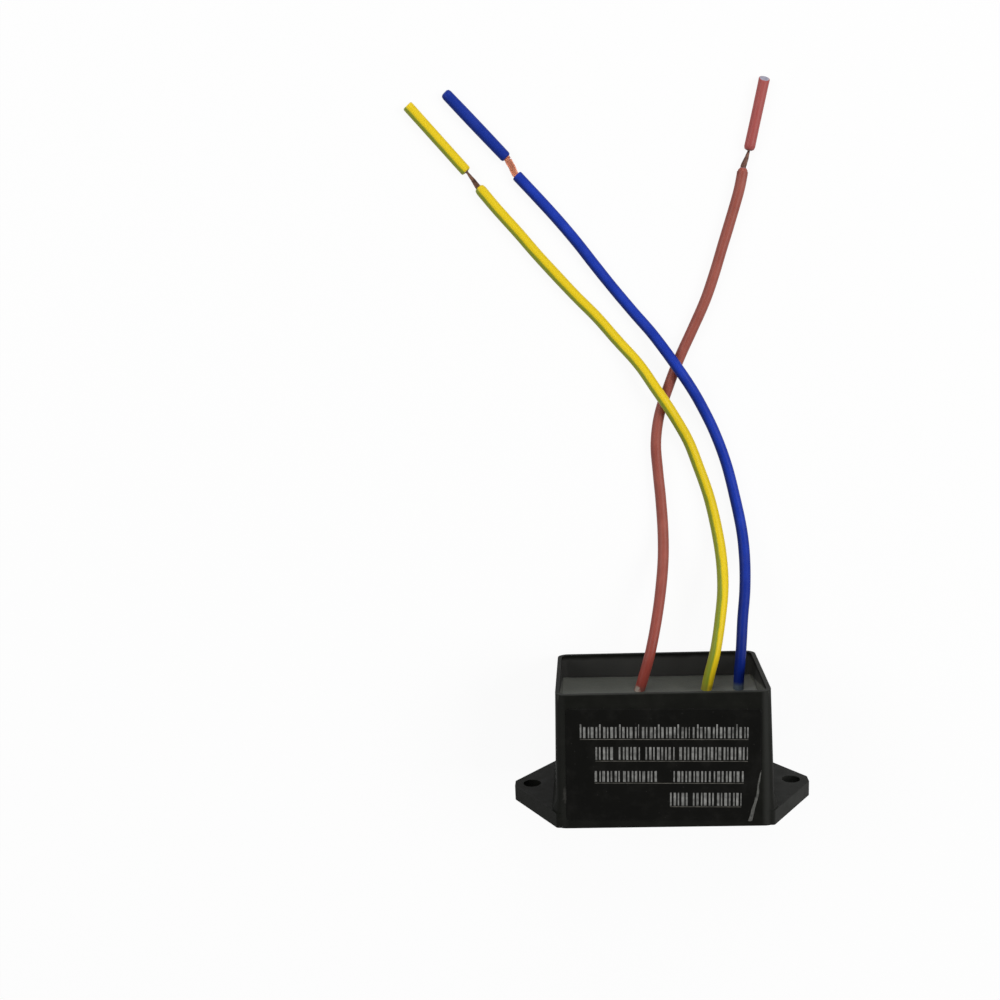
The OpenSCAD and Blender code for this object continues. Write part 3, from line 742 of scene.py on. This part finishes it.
resinSettings = {
    "cells": (120, 76),
    "corner": 0.0012,
    "thickness": 0.0003,
    "lift": 0.0001,  # over the CAD's resin
    "wallRise": 0.0001,
    "sideRise": 0.0005,
    "wallFade": 0.0008,
    "wallWaver": (180, 0.5, 4),  # how often, how much and which pattern
    "collarRise": 0.00012,
    "collarFade": 0.0006,
    "collarWaver": (500, 0.6, 9),
    "waves": (90, 0.00006, 2),
    "specular": 0.25,
    "dark": (0.06, 0.064, 0.056), "light": (0.082, 0.087, 0.075),
    "pitScale": 420.0, "pit": (0.13, 0.05),
    # Painted light lifts the shade near the wall behind the leads
    "deep": (0.011, 0.003), "deepTone": (0.095, 0.1, 0.088),  # paler towards the wall behind the leads
    # Painted shade, a dark line where the resin meets that wall
    "edge": (0.0014, 0.0009), "edgeShare": 0.8, "edgeTone": (0.02, 0.021, 0.018),  # a line along it
    "edgeWiden": 0.026,  # of that line towards the right
    "edgeWaver": (400.0, 0.0003),
    # Painted light, paler towards the side walls
    "right": (0.016, 0.0225), "left": (-0.012, -0.0225, 0.0, 0.3), "sideTone": (0.14, 0.145, 0.128),
    # Painted shade, darker towards the wall with the sticker
    "near": (0.014, 0.026), "nearShare": 0.7, "nearTone": (0.042, 0.044, 0.038),
    "roughness": (0.34, 0.52), "grain": 0.0006, "blotch": 0.005, "depth": 0.00006, "dust": 0.35,
    "dustTone": (0.2, 0.2, 0.18),
}


def resinFinish(settings):
    finish = Finish("pottingResin", settings)
    tree, ramp = finish.tree, finish.ramp
    height, blotch = finish.grain()
    cells = put(tree, "ShaderNodeTexVoronoi", {"Vector": finish.place, "Scale": settings["pitScale"]})
    height = sums(tree, "SUBTRACT", height, ramp(cells.outputs["Distance"], "pit"))
    across, _, above = finish.axes()
    # Painted light makes it paler towards the wall behind the leads
    base = finish.tint(finish.mottled(blotch), ramp(above, "deep"), "deep")
    # Painted light makes it paler towards the side walls
    base = finish.tint(base, sums(tree, "MAXIMUM", ramp(across, "right"), ramp(across, "left")), "side")
    # Painted shade makes it darker towards the wall with the sticker
    base = finish.tint(base, ramp(above, "near"), "near")
    # Painted shade draws a dark line where it meets the wall behind the leads, wider towards the right
    behind = sums(tree, "SUBTRACT", above, product(tree, across, settings["edgeWiden"]))
    edge = ramp(sums(tree, "ADD", behind, finish.waver(*settings["edgeWaver"])), "edge")
    base = finish.tint(base, edge, "edge")
    return finish.surface(base, height, blotch, finish.dust())


def unevenShare(x, y, pattern):
    often, much, layer = pattern
    return 1 + much * noise.noise(Vector((x * often, y * often, layer)))


def unevenHeight(x, y, pattern):
    often, much, layer = pattern
    fade, step, octaves = 1.0, 2.0, 3
    return much * noise.fractal(Vector((x * often, y * often, layer)), fade, step, octaves)


def roundedSide(reach, half, corner):
    # How far the side of a rounded rectangle lies from its middle line, at a distance towards its end
    past = max(0.0, abs(reach) - (half - corner))
    return corner - math.sqrt(max(corner * corner - past * past, 0.0))


def newGrid(cells):
    bm = bmesh.new()
    bmesh.ops.create_grid(bm, x_segments=cells[0], y_segments=cells[1], size=1.0)
    return bm


def thicken(piece, outwards, thickness):
    # A sheet is turned to face outwards, and its thickness lies behind it
    if piece.data.polygons[0].normal.dot(outwards) < 0:
        piece.data.flip_normals()
    sheet = piece.modifiers.new("thickness", "SOLIDIFY")
    sheet.thickness = thickness
    sheet.offset = -1


def makeResinSurface(settings):
    low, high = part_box("potting_compound")
    halfX, halfZ = (high.x - low.x) / 2, (high.z - low.z) / 2
    middle = (low + high) / 2
    exits = [onSurface(lead["route"][0]) for lead in leads.values()]
    bm = newGrid(settings["cells"])
    for vert in bm.verts:
        z = vert.co.y * halfZ
        x = vert.co.x * (halfX - roundedSide(z, halfZ, settings["corner"]))
        rise = settings["wallRise"] * math.exp(-(halfZ - abs(z)) / settings["wallFade"])
        rise += settings["sideRise"] * math.exp(-(halfX - abs(x)) / settings["wallFade"])
        rise *= unevenShare(x, z, settings["wallWaver"])
        for spot in exits:
            away = math.hypot(x + middle.x - spot.x, z + middle.z - spot.z) - leadSettings["diameter"] / 2
            collar = settings["collarRise"] * unevenShare(x, z, settings["collarWaver"])
            rise += collar * math.exp(-max(away, 0.0) / settings["collarFade"])
        rise += unevenHeight(x, z, settings["waves"])
        vert.co = Vector((x + middle.x, high.y + settings["lift"] + rise, z + middle.z))
    piece = finishPiece(bm, "resin_surface", [resinFinish(settings)])
    thicken(piece, Vector((0, 1, 0)), settings["thickness"])


makeResinSurface(resinSettings)
print("stage: resin")


# Sticker

stickerSettings = {
    "lean": 4.6,  # of the label wall, in degrees
    "rim": (0.016, 0.032),  # place of the label wall's rim, out and up
    "turn": -1.1,  # the sticker sits a little askew, in degrees
    "middle": -0.00025,
    "half": 0.0226,
    "drop": 0.0036,
    "height": 0.0269,
    "corner": 0.0008,
    "cells": (150, 92),
    "thickness": 0.00012,
    "lift": (0.00002, 0.00001),  # usual and least, over the wall
    "waves": (130, 0.000035, 5),
    # The tear, as depth below the rim and how much of the width is missing
    "tear": [(0.0182, 0.0), (0.0214, 0.0007), (0.0245, 0.0009), (0.0275, 0.0018), (0.0305, 0.0025)],
    "tearWaver": (500, 0.00016, 3),
    "tearStart": 0.003,  # length in which the tear gets ragged
    "tearLeast": 0.00001,
    "dark": (0.0027, 0.0027, 0.0022), "light": (0.0037, 0.0037, 0.0031),
    "roughness": (0.2, 0.3), "grain": 0.0012, "blotch": 0.008, "depth": 0.00001, "dust": 0.05,
    "specular": 0.045,
}


def wallPlace():
    # From the sticker's own plane, with Y up to the rim and Z outwards, to the row frame
    out, up = stickerSettings["rim"]
    lean = Matrix.Rotation(math.radians(-stickerSettings["lean"]), 4, "X")
    middle = Matrix.Translation((0, -stickerSettings["drop"] - stickerSettings["height"] / 2, 0))
    askew = Matrix.Rotation(math.radians(stickerSettings["turn"]), 4, "Z")
    return Matrix.Translation((0, out, up)) @ lean @ middle @ askew @ middle.inverted()


def tornEdge(depth):
    # How far in from the sticker's right edge the tear runs, at a depth below the rim
    tear = stickerSettings["tear"]
    often, much, layer = stickerSettings["tearWaver"]
    for (above, first), (below, second) in zip(tear, tear[1:]):
        if above < depth <= below or below == tear[-1][0] and depth > below:
            plain = first + (second - first) * (depth - above) / (below - above)
            ragged = much * noise.noise(Vector((depth * often, layer, 0)))
            grown = min(1.0, (depth - tear[0][0]) / stickerSettings["tearStart"])
            return max(stickerSettings["tearLeast"], plain + ragged * grown)
    return 0.0


def makeSticker(settings):
    bm = newGrid(settings["cells"])
    half, tall = settings["half"], settings["height"] / 2
    usual, least = settings["lift"]
    for vert in bm.verts:
        y = vert.co.y * tall
        inset = roundedSide(y, tall, settings["corner"])
        depth = settings["drop"] + tall - y
        left = settings["middle"] - half + inset
        right = settings["middle"] + half - max(inset, tornEdge(depth))
        x = left + (right - left) * (vert.co.x + 1) / 2
        lift = max(usual + unevenHeight(x, y, settings["waves"]), least)
        vert.co = Vector((x, -depth, lift + settings["thickness"]))
    bmesh.ops.transform(bm, matrix=wallPlace(), verts=bm.verts)
    piece = finishPiece(bm, "black_sticker", [plainFinish("stickerFilm", settings)])
    thicken(piece, Vector((0, 0, 1)), settings["thickness"])
    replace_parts(piece, "front_label")


tearSettings = {
    "cells": (8, 80),
    "width": (0.0004, 0.00105),  # at its top and at its foot
    "widthWaver": (700, 0.2, 21),
    "point": 12,  # how suddenly it starts
    "lift": 0.00005,
    "rise": (0.000104, 0.00026),  # at its top and at its foot
    "thickness": 0.0001,
    "dark": (0.04, 0.041, 0.038), "light": (0.12, 0.12, 0.11),
    "roughness": (0.7, 0.85), "grain": 0.00012, "blotch": 0.0008, "depth": 0.00004, "specular": 0.2,
}


def makeTearBacking(settings):
    # The pale backing that is rolled up along the tear, wider towards the bottom
    bm = newGrid(settings["cells"])
    tear = stickerSettings["tear"]
    start, end = tear[0][0], tear[-1][0]
    top, foot = settings["width"]
    often, much, layer = settings["widthWaver"]
    low, high = settings["rise"]
    for vert in bm.verts:
        share = 1 - (vert.co.y + 1) / 2
        depth = start + (end - start) * share
        width = (top + (foot - top) * share) * (1 + much * noise.noise(Vector((depth * often, layer, 0))))
        width *= min(1.0, share * settings["point"])
        x = stickerSettings["middle"] + stickerSettings["half"] - tornEdge(depth) + width * vert.co.x / 2
        rise = (low + (high - low) * share) * math.cos(vert.co.x * math.pi / 2)
        vert.co = Vector((x, -depth, settings["lift"] + rise))
    bmesh.ops.transform(bm, matrix=wallPlace(), verts=bm.verts)
    piece = finishPiece(bm, "sticker_backing", [plainFinish("tornBacking", settings)])
    thicken(piece, Vector((0, 0, 1)), settings["thickness"])


printSettings = {
    # Each row: top, foot and rule below the rim, share of its height that most bars have, and its words
    "rows": [
        (0.0073, 0.0106, 0.01085, 0.8, [(-0.0196, -0.0059), (-0.0052, 0.0058), (0.0065, 0.0193)]),
        (0.01275, 0.0158, 0.01605, 1.0, [(-0.016, -0.0117), (-0.0106, -0.0057), (-0.0044, 0.0023),
                                         (0.0034, 0.0192)]),
        (0.0185, 0.0211, 0.02135, 1.0, [(-0.0162, -0.0103), (-0.0096, -0.0016), (0.0021, 0.0107),
                                        (0.0114, 0.0183)]),
        (0.0237, 0.0268, 0.027, 1.0, [(0.0013, 0.0055), (0.0066, 0.0115), (0.0122, 0.0178)]),
    ],
    "widths": (0.00036, 0.00052, 0.0003, 0.00062, 0.0004),  # of the bars in turn
    "gaps": (0.00042, 0.00058, 0.00036, 0.0005),
    "tallEvery": 5,
    "ruleHeight": 0.00014,
    "thickness": 0.00002,
    "lift": 0.00006,
    "inks": {
        "printInk": ((0.06, 0.06, 0.057), (0.24, 0.24, 0.23), (0.4, 0.55), 0.0002, 0.0014, 0.00001, 0.2),
        "ruleInk": ((0.035, 0.033, 0.028), (0.11, 0.104, 0.09), (0.4, 0.55), 0.0002, 0.0012, 0.00001, 0.2),
    },
}


def addBlock(bm, left, right, top, foot, ink=0):
    made = bmesh.ops.create_cube(bm, size=1.0)["verts"]
    lift = stickerSettings["thickness"] + printSettings["lift"]
    place = Matrix.Translation(((left + right) / 2, -(top + foot) / 2, lift))
    size = Matrix.Diagonal((right - left, foot - top, printSettings["thickness"], 1))
    bmesh.ops.transform(bm, matrix=place @ size, verts=made)
    for face in {face for vert in made for face in vert.link_faces}:
        face.material_index = ink


def makePrint(settings):
    # Plain upright bars in groups stand for the printed rows, each with a thin rule below it
    bm = bmesh.new()
    widths, gaps = settings["widths"], settings["gaps"]
    count = 0
    for top, foot, rule, usual, words in settings["rows"]:
        for left, right in words:
            x = left
            while x < right:
                width = widths[count % len(widths)]
                share = usual if count % settings["tallEvery"] else 1.0
                addBlock(bm, x, min(x + width, right), foot - share * (foot - top), foot)
                x += width + gaps[count % len(gaps)]
                count += 1
        addBlock(bm, words[0][0], words[-1][1], rule, rule + settings["ruleHeight"], 1)
    bmesh.ops.transform(bm, matrix=wallPlace(), verts=bm.verts)
    inks = [plainFinish(*ink) for ink in settings["inks"].items()]
    finishPiece(bm, "sticker_print", inks, smooth=False)


makeSticker(stickerSettings)
makeTearBacking(tearSettings)
makePrint(printSettings)
print("stage: sticker")


# Parts cast in the resin

innerSettings = {
    "circuit_board": ((0.02, 0.14, 0.05), (0.04, 0.22, 0.08), (0.3, 0.45), 0.0004, 0.003, 0.00002),
    "copper_tracks": ((0.6, 0.28, 0.14), (0.82, 0.42, 0.24), (0.25, 0.4), 0.0002, 0.002, 0.00001, 0.5, 1.0),
    "solder_joints": ((0.55, 0.56, 0.58), (0.8, 0.8, 0.82), (0.18, 0.34), 0.0003, 0.001, 0.00003, 0.5, 1.0),
    "varistor_line_neutral": ((0.02, 0.1, 0.32), (0.04, 0.16, 0.45), (0.35, 0.5), 0.0006, 0.003, 0.00008),
    "gas_tube_ceramic": ((0.72, 0.66, 0.6), (0.85, 0.81, 0.76), (0.3, 0.42), 0.0002, 0.002, 0.00001),
    "gas_tube_electrodes": ((0.52, 0.52, 0.54), (0.74, 0.74, 0.76), (0.25, 0.38), 0.0002, 0.002, 0.00001,
                            0.5, 1.0),
    "thermal_fuse_line": ((0.5, 0.4, 0.27), (0.66, 0.55, 0.4), (0.4, 0.52), 0.0003, 0.002, 0.00002),
    "lead_roots": ((0.4, 0.3, 0.22), (0.5, 0.39, 0.3), (0.4, 0.5), 0.0004, 0.003, 0.00002),
    "lead_root_cores": ((0.55, 0.25, 0.16), (0.8, 0.42, 0.3), (0.3, 0.42), 0.0002, 0.001, 0.00002, 0.5, 1.0),
}
sameFinish = {
    "varistor_neutral_earth": "varistor_line_neutralFinish",
    "varistor_line_earth": "varistor_line_neutralFinish",
    "thermal_fuse_neutral": "thermal_fuse_lineFinish",
    "potting_compound": "pottingResin",
}


def dressNode(nodeName, material):
    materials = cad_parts[nodeName].data.materials
    materials.clear()
    materials.append(material)


for nodeName, plainValues in innerSettings.items():
    dressNode(nodeName, plainFinish(nodeName + "Finish", plainValues))
for nodeName, finishName in sameFinish.items():
    dressNode(nodeName, bpy.data.materials[finishName])
print("stage: parts in the resin")


# Floor and light

stageSettings = {
    "floorSize": 3.0,
    "floorDrop": 0.00002,
    "floorTone": (0.86, 0.86, 0.86),
    "floorGlow": 0.92,  # near the object, and all of it far away, where no edge of the floor shows
    "glowFade": (0.3, 0.9),
    "worldStrength": 0.24,
    "lampAim": (0, 0.06, 0),
    "lamps": [
        # Place, size and power
        ((0.75, 0.15, 0.75), 0.6, 6.8),
        ((-0.8, 0.35, 0.7), 0.6, 4.4),
        ((0.1, 1.0, 0.6), 0.7, 3.8),
    ],
}


def seenRays(tree):
    # One for rays that show the surroundings, straight or in a gloss, and nothing for the light they give
    rays = put(tree, "ShaderNodeLightPath").outputs
    return sums(tree, "MAXIMUM", sums(tree, "MAXIMUM", rays["Is Camera Ray"], rays["Is Glossy Ray"]),
                rays["Is Transmission Ray"])


def makeFloor(settings):
    bm = bmesh.new()
    bmesh.ops.create_grid(bm, x_segments=1, y_segments=1, size=settings["floorSize"] / 2)
    mesh = bpy.data.meshes.new("floor")
    bm.to_mesh(mesh)
    bm.free()
    floor = bpy.data.objects.new("floor", mesh)
    floor.location.z = -settings["floorDrop"]
    scene.collection.objects.link(floor)
    material = bpy.data.materials.new("paleFloor")
    material.use_nodes = True
    tree = material.node_tree
    tree.nodes.clear()
    place = put(tree, "ShaderNodeTexCoord").outputs["Object"]
    away = put(tree, "ShaderNodeVectorMath", {0: place}, operation="LENGTH").outputs["Value"]
    glowing = spread(tree, away, *settings["glowFade"], settings["floorGlow"], 1.0)
    share = product(tree, seenRays(tree), glowing)
    diffuse = put(tree, "ShaderNodeBsdfDiffuse", {"Color": colour(*settings["floorTone"])})
    glow = put(tree, "ShaderNodeEmission", {"Color": colour(1, 1, 1), "Strength": 1.0})
    mixed = put(tree, "ShaderNodeMixShader", {0: share, 1: diffuse.outputs[0], 2: glow.outputs[0]})
    put(tree, "ShaderNodeOutputMaterial", {"Surface": mixed.outputs[0]})
    mesh.materials.append(material)


def makeLamps(settings):
    for i, (place, size, power) in enumerate(settings["lamps"]):
        data = bpy.data.lights.new("softLamp" + str(i + 1), "AREA")
        data.shape = "SQUARE"
        data.size = size
        data.energy = power
        lamp = bpy.data.objects.new(data.name, data)
        lamp.location = place
        lamp.rotation_mode = "QUATERNION"
        lamp.rotation_quaternion = (Vector(settings["lampAim"]) - Vector(place)).to_track_quat("-Z", "Y")
        scene.collection.objects.link(lamp)


def makeWorld(settings):
    world = bpy.data.worlds.new("studio")
    world.use_nodes = True
    tree = world.node_tree
    background = tree.nodes["Background"]
    background.inputs["Color"].default_value = colour(1, 1, 1)
    shine = spread(tree, seenRays(tree), 0.0, 1.0, settings["worldStrength"], 1.0)
    tree.links.new(shine, background.inputs["Strength"])
    scene.world = world


makeFloor(stageSettings)
makeLamps(stageSettings)
makeWorld(stageSettings)
scene.view_settings.view_transform = "Standard"
print("stage: floor and light")

print("pieces", len(shown))
